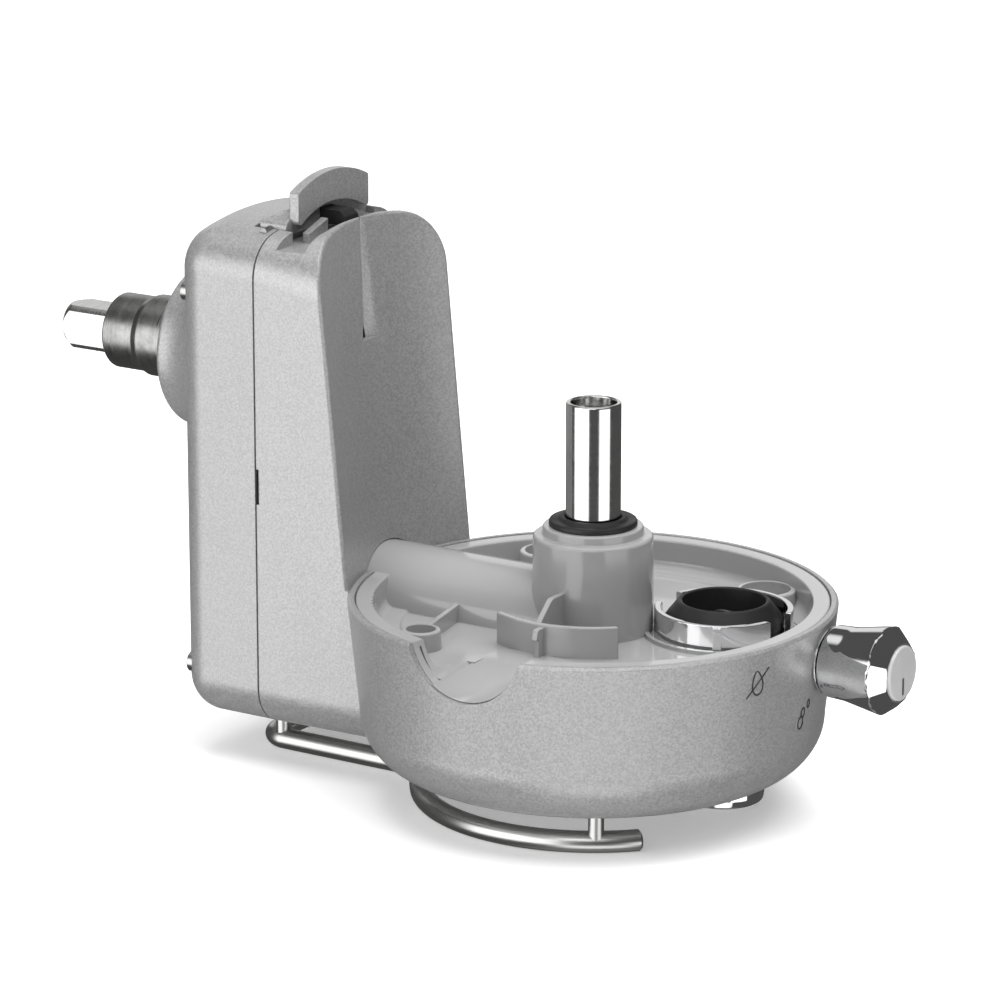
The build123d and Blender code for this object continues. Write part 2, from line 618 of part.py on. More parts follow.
def tap_body():
    """Plastic tap body under the tray with the flap's bore and the stem's hole."""
    points = [(TAP_BORE_R, -40), (18.5, -40), (18.5, -20), (21.6, -11.9), (21.6, -8), (GASKET_HOLE_R, -8), (TAP_BORE_R, -9)]
    body = turned(points, [0, 1, 1, 0, 0, 0, 0], TAP_X, TAP_Y)
    body += ring_y(5.2, STEM_R + RUN_GAP, -75, -58, TAP_X, LAY_AXIS_Z) & block((0, 60), (-80, -55), (-30, -14.6))
    bore = along_z(TAP_BORE_R, -45, -9, TAP_X, TAP_Y)
    return body - bore - along_y(STEM_R + RUN_GAP, -80, -28, TAP_X, LAY_AXIS_Z)


def outlet_gasket():
    """Black rubber cup gasket that the juicing bowl's outlet presses on."""
    points = [(GASKET_HOLE_R, -8), (21.9, -8), (21.9, -6), (20.6, -4.2), (17.0, 0.3), (16.3, 0.8), (GASKET_HOLE_R, 0.5),
              (GASKET_HOLE_R, -4)]
    return turned(points, [0, 0.3, 0.6, 1.2, 0.8, 0.3, 0.4, 0], TAP_X, TAP_Y)


def collar_ring():
    """Chrome collar in two arcs about the gasket, with out-turned ends and an upright rib."""
    ring = ring_z(RING_R, RING_R - RING_T, TRAY_FLOOR_Z, RING_TOP_Z)
    ring += ring_z(RING_R, RING_R - RING_T - 1.0, TRAY_FLOOR_Z, TRAY_FLOOR_Z + 1.6)
    gaps = block((-7, 7), (10, 40), (-9.8, 0)) + block((-8, 6), (-40, -10), (-9.8, 0))
    ring -= gaps
    ring = fillet(ring.edges().group_by(Axis.Z)[-1], 0.5)
    rib = Rot(0, 0, 205) * block((RING_R - 1, RING_R + 1.6), (-1.5, 1.5), (TRAY_FLOOR_Z, RING_TOP_Z - 0.6))
    tab = Rot(0, 0, 112) * block((RING_R - 2, RING_R + 1.3), (-1.2, 1.2), (-8, RING_TOP_Z))
    return Pos(TAP_X, TAP_Y, 0) * (ring + rib + tab - along_z(HUB_R + 0.25, -20, 5, -TAP_X, -TAP_Y))


def outlet_nozzle():
    """Chrome nozzle that carries the juice down and out below the bowl."""
    points = [(TAP_BORE_R, NOZZLE_FOOT_Z), (NOZZLE_R - 0.4, NOZZLE_FOOT_Z), (NOZZLE_R, NOZZLE_FOOT_Z + 4),
              (NOZZLE_R, -40), (TAP_BORE_R, -40)]
    return turned(points, [0.6, 1.2, 0, 0, 0], TAP_X, TAP_Y)


def outlet_nut():
    """Hexagonal nut that holds the nozzle to the bowl's floor."""
    foot = BOWL_FLOOR_Z + SHELL
    return Pos(TAP_X, TAP_Y, foot) * (extrude(RegularPolygon(19.6, 6), 5) - along_z(NOZZLE_R + 0.05, -1, 6))


def knob_collar():
    """Chrome collar in the bowl's wall that the knob turns against."""
    points = [(STEM_R + RUN_GAP, -83.5), (11.0, -83.5), (11.0, -88.4), (12.6, -88.4), (12.6, KNOB_BACK_Y + 0.5),
              (STEM_R + RUN_GAP, KNOB_BACK_Y + 0.5)]
    points = [(r, y) for r, y in reversed(points)]
    wall = bowl_body(-0.25) - along_y(11.2, -95, -70, TAP_X, LAY_AXIS_Z)
    return turned_y(points, [0, 0.15, 0.15, 0, 0.5, 0], TAP_X, LAY_AXIS_Z) - wall


def knob():
    """Flared chrome knob with eight soft facets round its outer end."""
    points = [(STEM_R - 0.4, KNOB_BACK_Y), (KNOB_BACK_R, KNOB_BACK_Y), (13.9, -98), (KNOB_R, -112.0),
              (11.4, -117.4), (10.4, -117.4), (10.4, -116.2), (STEM_R - 0.4, -116.2)]
    body = turned_y(points, [0, 1.2, 18, 2.0, 0.5, 0, 0, 0], 0, 0)
    for index in range(8):
        flat = Pos(0, -112, 15.9) * Rot(9, 0, 0) * Box(16, 20, 3, align=(Align.CENTER, Align.CENTER, Align.MIN))
        body -= Rot(0, 22.5 + index * 45, 0) * flat
    return Pos(TAP_X, 0, LAY_AXIS_Z) * body


def knob_disc():
    """Satin end disc with the position mark that points down when the tap is open."""
    disc = turned_y([(0, KNOB_FACE_Y), (9.9, KNOB_FACE_Y), (10.35, -116.3), (0, -116.3)], [0, 0.8, 0, 0])
    mark = block((-0.9, 0.9), (KNOB_FACE_Y - 1, KNOB_FACE_Y + 0.8), (-8.2, -1.4))
    return Pos(TAP_X, 0, LAY_AXIS_Z) * (disc - fillet(mark.edges().filter_by(Axis.Y), 0.85))


def valve_stem():
    """Stem from the knob to the flap, slotted for the flap's blade."""
    stem = along_y(STEM_R, KNOB_BACK_Y + 0.2, -29.5, TAP_X, LAY_AXIS_Z)
    neck = along_y(STEM_R - 0.4, -116.0, KNOB_BACK_Y + 1, TAP_X, LAY_AXIS_Z)
    return stem + neck - block((TAP_X - 1.0, TAP_X + 1.0), (-54.8, -29), (-20, -10))


def valve_flap():
    """Round butterfly flap, upright when the tap is open."""
    disc = Pos(TAP_X, TAP_Y, LAY_AXIS_Z) * Rot(0, 90, 0) * Cylinder(FLAP_R, 1.96)
    return disc & along_y(FLAP_R + 1, -54.7, -20, TAP_X, LAY_AXIS_Z)


# Latch

def latch_lever():
    """Release lever: a tall curved fin in front of a low plate with two thumb scoops."""
    left, right = (-FIN_HALF_X, 128.0), (FIN_HALF_X, 128.0)
    high_left, high_right = (-FIN_HALF_X, 141.0), (FIN_HALF_X, 141.0)
    lines = [ThreePointArc(high_left, (0, 146.4), high_right), Line(high_right, right)]
    lines += [ThreePointArc(right, (0, 134.7), left), Line(left, high_left)]
    fin = extrude(Plane.XZ.offset(-FIN_Y[1]) * fillet(make_face(Curve() + lines).vertices(), 1.4), FIN_Y[1] - FIN_Y[0])
    plate_line = [(117.4, 125.6), (128.6, 126.4), (129.6, 131.0), (117.4, 134.6)]
    plate = prism_x(plate_line, [0, 0.8, 2.0, 0], -POCKET_HALF_X + 0.5, POCKET_HALF_X - 0.5)
    plate &= prism_y([(-26.1, 120), (26.1, 120), (26.1, 130), (14, 134.6), (-14, 134.6), (-26.1, 130)],
                     [0, 0, 3, 8, 8, 3], 117, 130)
    for side in (-1, 1):
        plate -= Pos(side * 19.5, 127.0, 138.6) * Sphere(9.0)
    lever = fin + plate
    lever -= along_x(PIVOT_R + RUN_GAP, -40, 40, PIVOT_Y, PIVOT_Z)
    slot = block((-4.2, 4.2), (117, 121.2), (120, 130.6)) + block((-4.2, 4.2), (117, 118.1), (120, 132.2))
    return lever - slot


def latch_hook():
    """Black hook that catches the bowl lid's tongue."""
    line = [(121.0, 130.5), (120.6, 126.2), (109.0, 126.6), (107.2, 123.6), (104.6, 124.8), (106.0, 130.0), (108.5, 132.0),
            (118, 132.0), (118, 130.5)]
    return prism_x(line, [0, 0, 1.5, 0.5, 0.8, 1.5, 1.5, 0, 0], -4.1, 4.1)


def latch_pin():
    """Pin that the lever tilts on."""
    return along_x(PIVOT_R, -30.5, 30.5, PIVOT_Y, PIVOT_Z)


def latch_well():
    """Black plastic cup under the hook."""
    cup = block((-8.4, 8.4), (103.6, 113.4), (118.5, RECESS_Z + 0.6))
    return cup - block((-7.2, 7.2), (104.8, 112.2), (119.8, 130))


def latch_spring():
    """Compression spring that holds the lever down at the front."""
    coil = Helix(1.6, 7.6, 1.9)
    start = Plane(origin=coil @ 0, z_dir=coil % 0)
    return Pos(0, 128.4, 118.1) * sweep(start * Circle(0.35), coil)


# Stand

def wire_stand():
    """Bent wire stand: two front arcs, two straight legs and a cross bar behind."""
    turn = degrees(atan2(52.3, -37.6))
    bend = at_angle(WIRE_LOOP_R, turn)
    run = abs(bend[0]) - WIRE_LEG_X
    leg_y = bend[1] + run * (-cos(radians(turn))) / sin(radians(turn))
    front = at_angle(WIRE_LOOP_R, 228.0)
    side = at_angle(WIRE_LOOP_R, 178.0)
    arc = ThreePointArc(front, side, bend)
    other = ThreePointArc((-bend[0], bend[1]), (-side[0], side[1]), (-front[0], front[1]))
    legs = FilletPolyline(bend, (-WIRE_LEG_X, leg_y), (-WIRE_LEG_X, WIRE_BACK_Y), (WIRE_LEG_X, WIRE_BACK_Y),
                          (WIRE_LEG_X, leg_y), (-bend[0], bend[1]), radius=[11, 9, 9, 11])
    path = Plane.XY.offset(WIRE_Z) * (Curve() + arc + legs + other)
    start = Plane(origin=path.wires()[0] @ 0, z_dir=path.wires()[0] % 0)
    rod = sweep(start * Circle(WIRE_R), path.wires()[0])
    ends = rod.faces().filter_by(GeomType.PLANE)
    return chamfer(ends.edges(), 0.8)


def stand_posts():
    """Four posts welded to the wire stand under the bowl and the tower."""
    wire = wire_stand()
    posts = Part()
    for side in (-1, 1):
        x, y = side * FRONT_POST[0], FRONT_POST[1]
        posts += along_z(POST_R, WIRE_Z, BOWL_FLOOR_Z, x, y) - along_z(1.55, -67, -60, x, y)
        x, y = side * REAR_POST[0], REAR_POST[1]
        posts += along_z(POST_R, WIRE_Z, TOWER_FOOT_Z, x, y) - along_z(1.55, -67, -60, x, y)
    return posts - wire


def stand_screws():
    """Screws inside the housings that hold the stand's posts."""
    screws = Part()
    for side in (-1, 1):
        x, y = side * FRONT_POST[0], FRONT_POST[1]
        floor = BOWL_FLOOR_Z + SHELL
        screws += along_z(1.5, -66.5, floor + 0.5, x, y) + along_z(2.5, floor + 0.1, floor + 2.4, x, y)
        x, y = side * REAR_POST[0], REAR_POST[1]
        floor = TOWER_FOOT_Z + TOWER_WALL
        screws += along_z(1.5, -66.5, floor + 0.5, x, y) + along_z(3.2, floor, floor + 2.4, x, y)
    return screws


NODES = {
    "bowl_housing": bowl_housing,
    "front_housing": front_housing,
    "rear_housing": rear_housing,
    "seam_gasket": seam_gasket,
    "housing_screws": housing_screws,
    "tray": tray,
    "bowl_sockets": bowl_sockets,
    "tray_pillars": tray_pillars,
    "tray_screws": tray_screws,
    "gear_plate": gear_plate,
    "pinion_block": pinion_block,
    "input_bushes": input_bushes,
    "layshaft_bushes": layshaft_bushes,
    "spindle_bushes": spindle_bushes,
    "idler_pin": idler_pin,
    "idler_bush": idler_bush,
    "hub_sleeve": hub_sleeve,
    "input_shaft": input_shaft,
    "layshaft": layshaft,
    "bevel_pinion": bevel_pinion,
    "bevel_gear": bevel_gear,
    "spindle": spindle,
    "spindle_screw": spindle_screw,
    "spindle_seal": spindle_seal,
    "thrust_collar": thrust_collar,
    "tap_body": tap_body,
    "outlet_gasket": outlet_gasket,
    "collar_ring": collar_ring,
    "outlet_nozzle": outlet_nozzle,
    "outlet_nut": outlet_nut,
    "knob_collar": knob_collar,
    "knob": knob,
    "knob_disc": knob_disc,
    "valve_stem": valve_stem,
    "valve_flap": valve_flap,
    "latch_lever": latch_lever,
    "latch_hook": latch_hook,
    "latch_pin": latch_pin,
    "latch_well": latch_well,
    "latch_spring": latch_spring,
    "wire_stand": wire_stand,
    "stand_posts": stand_posts,
    "stand_screws": stand_screws,
    "input_gear": lambda: spur_gear(INPUT_TEETH, INPUT_R + 0.02, *GEAR_Y, HUB_AXIS_Z),
    "idler_gear": lambda: spur_gear(IDLER_TEETH, 8.02, *GEAR_Y, IDLER_AXIS_Z),
    "output_gear": lambda: spur_gear(INPUT_TEETH, LAY_R + 0.02, *GEAR_Y, LAY_AXIS_Z),
    "input_clip": lambda: clip_y(INPUT_R, 120.0, HUB_AXIS_Z),
    "layshaft_clip": lambda: clip_y(LAY_R, 120.0, LAY_AXIS_Z),
}

os.makedirs("parts", exist_ok=True)
for name, make in NODES.items():
    piece = Pos(0, -MIDDLE_Y, -GROUND_Z) * make()
    export_step(piece, f"parts/{name}.step")
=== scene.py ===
import json
import math

import bmesh
import bpy
import numpy as np
from bpy.props import FloatProperty, FloatVectorProperty, IntProperty, PointerProperty
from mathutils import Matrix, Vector


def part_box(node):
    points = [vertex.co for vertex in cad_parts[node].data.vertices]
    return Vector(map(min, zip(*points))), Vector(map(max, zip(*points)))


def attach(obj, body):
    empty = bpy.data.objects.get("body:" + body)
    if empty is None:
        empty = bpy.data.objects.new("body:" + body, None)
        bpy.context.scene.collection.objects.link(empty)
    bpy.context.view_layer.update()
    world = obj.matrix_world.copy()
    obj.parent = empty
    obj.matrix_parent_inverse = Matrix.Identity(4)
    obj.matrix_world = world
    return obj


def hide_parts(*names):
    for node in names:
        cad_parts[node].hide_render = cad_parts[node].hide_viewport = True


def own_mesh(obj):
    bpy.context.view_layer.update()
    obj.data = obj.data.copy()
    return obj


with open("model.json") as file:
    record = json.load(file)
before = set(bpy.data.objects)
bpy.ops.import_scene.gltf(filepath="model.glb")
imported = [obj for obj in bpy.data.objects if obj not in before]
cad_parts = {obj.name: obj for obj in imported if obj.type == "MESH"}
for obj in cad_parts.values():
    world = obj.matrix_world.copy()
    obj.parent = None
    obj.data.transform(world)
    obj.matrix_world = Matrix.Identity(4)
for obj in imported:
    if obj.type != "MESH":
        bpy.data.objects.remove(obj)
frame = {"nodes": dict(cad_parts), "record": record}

bl_info = {
    "name": "Juicing attachment drive base",
    "version": (1, 0, 0),
    "blender": (4, 5, 0),
    "location": "View3D > Sidebar > Drive Base",
    "description": "Finished pieces, finishes and studio for a mixer attachment's drive base",
    "category": "Object",
}

MM = 0.001


# Places read from the frame, in metres

def middle(node):
    """Centre of a CAD node's box."""
    low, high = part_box(node)
    return (low + high) / 2


SPINDLE_LOW, SPINDLE_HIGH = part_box("spindle")
BOWL_X, BOWL_Y = middle("spindle").x, middle("spindle").y
RIM_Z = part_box("bowl_housing")[1].z
HUB_Z = middle("hub_sleeve").z
TAP = middle("outlet_nozzle")
KNOB = middle("knob_disc")
WIRE_LOW, WIRE_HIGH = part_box("wire_stand")


# Settings that a user would change

class FinishSettings(bpy.types.PropertyGroup):
    """Colours and roughness of the finishes."""

    silver: FloatVectorProperty(name="Silver paint", description="Colour of the housings' metallic paint",
                                default=(0.43, 0.43, 0.43), size=3, subtype="COLOR", min=0, max=1)
    silver_roughness: FloatProperty(name="Paint roughness", description="How soft the paint's shine is",
                                    default=0.40, min=0, max=1, subtype="FACTOR")
    flake: FloatProperty(name="Flake size", description="Width of the flakes in the paint",
                         default=0.6 * MM, min=0.1 * MM, max=2 * MM, unit="LENGTH")
    tray: FloatVectorProperty(name="Tray grey", description="Colour of the glossy inner tray",
                              default=(0.31, 0.31, 0.31), size=3, subtype="COLOR", min=0, max=1)
    rubber: FloatVectorProperty(name="Rubber black", description="Colour of the seal and the cup gasket",
                                default=(0.012, 0.012, 0.012), size=3, subtype="COLOR", min=0, max=1)


class ShapeSettings(bpy.types.PropertyGroup):
    """Fineness and small radii of the finished pieces."""

    around: IntProperty(name="Steps around", description="Faces round each turned piece",
                        default=160, min=24, max=400)
    edge: FloatProperty(name="Edge radius", description="Rounding of the castings' edges in their shading",
                        default=0.5 * MM, min=0, max=3 * MM, unit="LENGTH")
    facets: IntProperty(name="Knob facets", description="Flats round the knob's outer end",
                        default=8, min=4, max=12)


class StudioSettings(bpy.types.PropertyGroup):
    """Camera, lights and floor."""

    azimuth: FloatProperty(name="Azimuth", description="Camera's direction round the object",
                           default=math.radians(-58.16), subtype="ANGLE")
    elevation: FloatProperty(name="Elevation", description="Camera's height angle",
                             default=math.radians(16.54), subtype="ANGLE")
    distance: FloatProperty(name="Distance", description="Camera to the middle of the bowl's rim",
                            default=1.8322, unit="LENGTH")
    lens: FloatProperty(name="Lens", description="Focal length in millimetres",
                        default=180.0, min=20, max=400)
    floor: FloatVectorProperty(name="Floor", description="Colour of the floor and backdrop",
                               default=(0.90, 0.90, 0.90), size=3, subtype="COLOR", min=0, max=1)
    key: FloatProperty(name="Key light", description="Power of the large front light", default=2.5, min=0)
    side: FloatProperty(name="Side light", description="Power of the light on the tower's side",
                        default=1.5, min=0)
    top: FloatProperty(name="Top light", description="Power of the overhead light", default=34.0, min=0)


# Width of the camera's sensor, in millimetres
SENSOR = 36
# Tangents of the angles from the bowl's centre to the middle of the view, to the left and upwards
AIM_ASIDE, AIM_ABOVE = 0.01856, 0.0191
# Bright panels of the room: azimuth from and to, elevation from and to, softness of the edges, brightness
PANELS = [
    (-142, -78, -26, 26, 2.5, 2.0),
    (-82, -28, -56, -24, 4, 1.5),
    (-35, 12, -26, -2, 2.5, 1.7),
    (95, 150, 4, 30, 4, 0.8),
    (-182, 182, 54, 91, 4, 0.9),
    (-182, 182, -91, -66, 4, 0.25),
]
ROOM_LEVEL = 0.08


# Node graphs

class Graph:
    """Small helper that adds and links nodes in one tree."""

    def __init__(self, tree):
        self.tree = tree

    def add(self, kind, links=None, values=None, **settings):
        """New node with settings, input values and links from other sockets."""
        node = self.tree.nodes.new(kind)
        for key, value in settings.items():
            setattr(node, key, value)
        for key, value in (values or {}).items():
            node.inputs[key].default_value = value
        for key, source in (links or {}).items():
            self.tree.links.new(source, node.inputs[key])
        return node

    def calc(self, operation, first, second=None, number=None):
        """Result of a Math node on one socket and another socket or a number."""
        links = {0: first}
        if second is not None:
            links[1] = second
        values = {} if number is None else {1: number}
        return self.add("ShaderNodeMath", links, values, operation=operation).outputs[0]

    def coords(self, scale=(1, 1, 1), kind="Object"):
        """Scaled texture coordinates."""
        source = self.add("ShaderNodeTexCoord").outputs[kind]
        return self.add("ShaderNodeMapping", {"Vector": source}, {"Scale": scale}).outputs[0]

    def noise(self, scale, detail=2.0, vector=None, rough=0.5):
        """Noise value."""
        links = {"Vector": vector or self.coords()}
        values = {"Scale": scale, "Detail": detail, "Roughness": rough}
        return self.add("ShaderNodeTexNoise", links, values).outputs["Fac"]

    def spread(self, value, low, high, start=0.3, end=0.7):
        """Value remapped from start..end to low..high."""
        values = {"From Min": start, "From Max": end, "To Min": low, "To Max": high}
        return self.add("ShaderNodeMapRange", {"Value": value}, values).outputs[0]

    def tint(self, value, colour, low, high, start=0.3, end=0.7):
        """Colour made darker or lighter by a value."""
        factor = self.spread(value, low, high, start, end)
        values = {"Factor": 1.0, "A": (*colour, 1)}
        node = self.add("ShaderNodeMix", {"B": factor}, values, data_type="RGBA", blend_type="MULTIPLY")
        return node.outputs["Result"]

    def bump(self, height, strength, distance, normal=None):
        """Bump normal."""
        links = {"Height": height}
        if normal is not None:
            links["Normal"] = normal
        return self.add("ShaderNodeBump", links, {"Strength": strength, "Distance": distance}).outputs[0]

    def rounded(self, radius):
        """Normal that rounds sharp edges."""
        return self.add("ShaderNodeBevel", None, {"Radius": radius}, samples=6).outputs[0]


MADE = {}


def material(name, build, **fixed):
    """Material with one Principled shader; build adds what varies over the surface."""
    if name in MADE:
        return MADE[name]
    mat = MADE[name] = bpy.data.materials.new(name + "_finish")
    mat.use_nodes = True
    graph = Graph(mat.node_tree)
    shader = mat.node_tree.nodes["Principled BSDF"]
    for key, value in fixed.items():
        shader.inputs[key.replace("_", " ")].default_value = value
    for key, socket in build(graph).items():
        mat.node_tree.links.new(socket, shader.inputs[key])
    return mat


def silver_paint():
    """Satin silver paint: flakes of differing brightness and tilt under a soft clear shine."""
    s, shape = bpy.context.scene.base_finish, bpy.context.scene.base_shape

    def build(g):
        cells = g.add("ShaderNodeTexVoronoi", {"Vector": g.coords()}, {"Scale": 1 / s.flake})
        level = g.add("ShaderNodeSeparateColor", {"Color": cells.outputs["Color"]}).outputs[0]
        cloud = g.noise(9.0, 2.0)
        mixed = g.calc("ADD", level, g.spread(cloud, -0.08, 0.08))
        height = g.noise(1.2 / s.flake, 1.0)
        return {"Base Color": g.tint(mixed, s.silver, 0.82, 1.16, 0.0, 1.0),
                "Roughness": g.spread(level, s.silver_roughness - 0.06, s.silver_roughness + 0.06, 0, 1),
                "Normal": g.bump(height, 0.12, 0.05 * MM, g.rounded(shape.edge))}

    return material("silver_paint", build, Metallic=0.55, Coat_Weight=0.06, Coat_Roughness=0.3)


def tray_plastic():
    """Glossy grey moulded plastic with faint orange peel and soft moulded edges."""
    s, shape = bpy.context.scene.base_finish, bpy.context.scene.base_shape

    def build(g):
        peel = g.noise(420.0, 2.0)
        cloud = g.noise(14.0, 3.0)
        return {"Base Color": g.tint(cloud, s.tray, 0.93, 1.07),
                "Roughness": g.spread(g.noise(60.0, 4.0), 0.10, 0.19),
                "Normal": g.bump(peel, 0.05, 0.06 * MM, g.rounded(shape.edge * 1.2))}

    return material("tray_plastic", build, Coat_Weight=0.35, Coat_Roughness=0.06, IOR=1.5)


def bright_chrome():
    """Bright plating with a trace of waviness and finger haze."""

    def build(g):
        return {"Base Color": g.tint(g.noise(30.0, 3.0), (0.86, 0.86, 0.87), 0.94, 1.04),
                "Roughness": g.spread(g.noise(140.0, 4.0), 0.035, 0.085),
                "Normal": g.bump(g.noise(60.0, 1.0), 0.03, 0.1 * MM, g.rounded(0.35 * MM))}

    return material("bright_chrome", build, Metallic=1.0)


def turned_finish(name, colour, rough, depth, axis, along=900.0, scuff=0.1):
    """Turned metal: fine rings across an axis, streaked roughness and small scuffs."""

    def build(g):
        stretch = [26.0, 26.0, 26.0]
        stretch[axis] = along
        rings = g.noise(1.0, 3.0, g.coords(stretch), 0.7)
        marks = g.noise(190.0, 5.0, None, 0.75)
        return {"Base Color": g.tint(marks, colour, 1.0 - scuff, 1.0 + scuff * 0.5),
                "Roughness": g.spread(rings, rough * 0.7, rough * 1.35),
                "Normal": g.bump(rings, depth, 0.03 * MM, g.rounded(0.3 * MM))}

    return material(name, build, Metallic=1.0)


def drawn_wire():
    """Satin drawn stainless wire: fine lines along its length, from the piece's own UV map."""

    def build(g):
        lines = g.noise(1.0, 4.0, g.coords((160.0, 2.5, 1.0), "UV"), 0.7)
        haze = g.noise(35.0, 3.0)
        return {"Base Color": g.tint(haze, (0.60, 0.60, 0.59), 0.9, 1.08),
                "Roughness": g.spread(lines, 0.22, 0.38),
                "Normal": g.bump(lines, 0.12, 0.03 * MM)}

    return material("drawn_wire", build, Metallic=1.0)


def black_rubber():
    """Matt black rubber with a fine moulded grain."""
    s = bpy.context.scene.base_finish

    def build(g):
        return {"Base Color": g.tint(g.noise(45.0, 3.0), s.rubber, 0.8, 1.6),
                "Roughness": g.spread(g.noise(120.0, 3.0), 0.42, 0.6),
                "Normal": g.bump(g.noise(1500.0, 2.0), 0.15, 0.05 * MM, g.rounded(0.3 * MM))}

    return material("black_rubber", build, Specular_IOR_Level=0.45)


def moulded(name, colour, rough, grain=1600.0, metallic=0.0):
    """Plain moulded or plated finish with a fine grain."""

    def build(g):
        return {"Base Color": g.tint(g.noise(55.0, 3.0), colour, 0.88, 1.1),
                "Roughness": g.spread(g.noise(260.0, 3.0), rough * 0.8, rough * 1.2),
                "Normal": g.bump(g.noise(grain, 2.0), 0.12, 0.04 * MM, g.rounded(0.25 * MM))}

    return material(name, build, Metallic=metallic)


def print_ink():
    """Dark grey pad-printed ink, a little uneven."""

    def build(g):
        return {"Base Color": g.tint(g.noise(900.0, 2.0), (0.035, 0.035, 0.037), 0.7, 1.5),
                "Roughness": g.spread(g.noise(400.0, 2.0), 0.35, 0.5)}

    return material("print_ink", build)


FINISHES = {
    "silver_paint": silver_paint,
    "tray_grey": tray_plastic,
    "polished_steel": lambda: turned_finish("polished_steel", (0.80, 0.80, 0.79), 0.13, 0.10, 2),
    "chrome": bright_chrome,
    "black_rubber": black_rubber,
    "black_plastic": lambda: moulded("black_plastic", (0.016, 0.016, 0.016), 0.38),
    "satin_wire": drawn_wire,
    "turned_steel": lambda: turned_finish("turned_steel", (0.42, 0.42, 0.41), 0.34, 0.35, 1, 1500.0, 0.32),
    "drive_steel": lambda: turned_finish("drive_steel", (0.72, 0.72, 0.71), 0.24, 0.22, 1, 1300.0, 0.12),
    "satin_grey": lambda: moulded("satin_grey", (0.52, 0.52, 0.52), 0.42, 2200.0, 0.25),
    "gear_steel": lambda: moulded("gear_steel", (0.36, 0.36, 0.37), 0.35, 900.0, 1.0),
    "bronze": lambda: moulded("bronze", (0.55, 0.36, 0.15), 0.36, 1200.0, 1.0),
    "zinc_steel": lambda: moulded("zinc_steel", (0.55, 0.55, 0.54), 0.3, 1400.0, 1.0),
    "cast_alloy": lambda: moulded("cast_alloy", (0.42, 0.42, 0.43), 0.5, 700.0, 1.0),
    "white_plastic": lambda: moulded("white_plastic", (0.68, 0.68, 0.65), 0.4),
}
SLOT_OF = {row["node"]: row["material_slot"] for row in frame["record"]["subparts"]}
BODY_OF = {node: body for body, nodes in frame["record"]["behaviour"]["bodies"].items() for node in nodes}


# Meshes

def piece(name, mesh, body, slot, replaced=(), finish=None):
    """Object at the origin that rides on a body, with its finish and the CAD nodes it stands for."""
    obj = bpy.data.objects.new(name, mesh)
    bpy.context.scene.collection.objects.link(obj)
    mesh.materials.clear()
    mesh.materials.append((finish or FINISHES[slot])())
    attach(obj, body)
    if replaced:
        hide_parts(*replaced)
    return obj


def grid(points, close_u=True, close_v=False, caps=(False, False), flip=False, name="grid"):
    """Quad mesh over an array of points (rows, columns, 3), with UVs; rows may close on themselves.

    Column c of row r is vertex r * columns + c, and each cell joins its four corners.
    """
    rows, columns = points.shape[:2]
    index = np.arange(rows * columns).reshape(rows, columns)
    u = np.arange(columns if close_u else columns - 1)
    v = np.arange(rows if close_v else rows - 1)
    uu, vv = np.meshgrid(u, v)
    a, b = index[vv, uu], index[vv, (uu + 1) % columns]
    c, d = index[(vv + 1) % rows, (uu + 1) % columns], index[(vv + 1) % rows, uu]
    faces = np.stack([a, b, c, d], -1).reshape(-1, 4)
    if flip:
        faces = faces[:, ::-1]
    mesh = bpy.data.meshes.new(name)
    polygons = faces.tolist()
    if caps[0]:
        polygons.append(index[0].tolist()[::1 if flip else -1])
    if caps[1]:
        polygons.append(index[-1].tolist()[::-1 if flip else 1])
    mesh.from_pydata(points.reshape(-1, 3), [], polygons)
    uv = mesh.uv_layers.new(name="UVMap")
    across = np.stack([uu, uu + 1, uu + 1, uu], -1).reshape(-1, 4) / columns
    length = np.stack([vv, vv, vv + 1, vv + 1], -1).reshape(-1, 4) / rows
    if flip:
        across, length = across[:, ::-1], length[:, ::-1]
    flat = np.stack([across.ravel(), length.ravel()], -1)
    tail = np.zeros((len(mesh.loops) - len(flat), 2))
    uv.data.foreach_set("uv", np.concatenate([flat, tail]).ravel())
    mesh.polygons.foreach_set("use_smooth", np.ones(len(mesh.polygons), bool))
    mesh.update()
    return mesh


def rounded_line(points, radii, steps=5):
    """Polyline whose corners are arcs between their tangent points.

    For a corner with half angle h the tangent points lie radius / tan(h) along each side.
    """
    points = np.asarray(points, float)
    out = []
    for i, (p, r) in enumerate(zip(points, radii)):
        if r <= 0 or i in (0, len(points) - 1):
            out.append(p[None])
            continue
        a, b = points[i - 1] - p, points[i + 1] - p
        a, b = a / np.linalg.norm(a), b / np.linalg.norm(b)
        half = math.acos(np.clip(a @ b, -1, 1)) / 2
        centre = p + (a + b) / np.linalg.norm(a + b) * r / math.sin(half)
        start, end = p + a * r / math.tan(half) - centre, p + b * r / math.tan(half) - centre
        t = np.linspace(0, 1, steps + 1)[:, None]
        turn = math.pi - 2 * half
        arc = (np.sin((1 - t) * turn) * start + np.sin(t * turn) * end) / math.sin(turn)
        out.append(centre + arc)
    return np.concatenate(out)


def lathe(profile, centre, axis="Z", steps=None, flute=None, name="turned"):
    """Surface of revolution of (radius, place) points; flute may change the radius with angle and place."""
    steps = steps or bpy.context.scene.base_shape.around
    angle = np.linspace(0, 2 * np.pi, steps, endpoint=False)[None, :]
    radius, place = profile[:, :1], profile[:, 1:]
    if flute is not None:
        radius = flute(radius, place, angle)
    across, up = radius * np.cos(angle), radius * np.sin(angle)
    far = np.broadcast_to(place, across.shape)
    if axis == "Z":
        points = np.stack([across + centre[0], up + centre[1], far], -1)
    else:
        points = np.stack([across + centre[0], far, up + centre[2]], -1)
    closed = np.allclose(profile[0], profile[-1])
    if closed:
        points = points[:-1]
    mesh = grid(points, True, closed, name=name)
    return tidy(mesh)


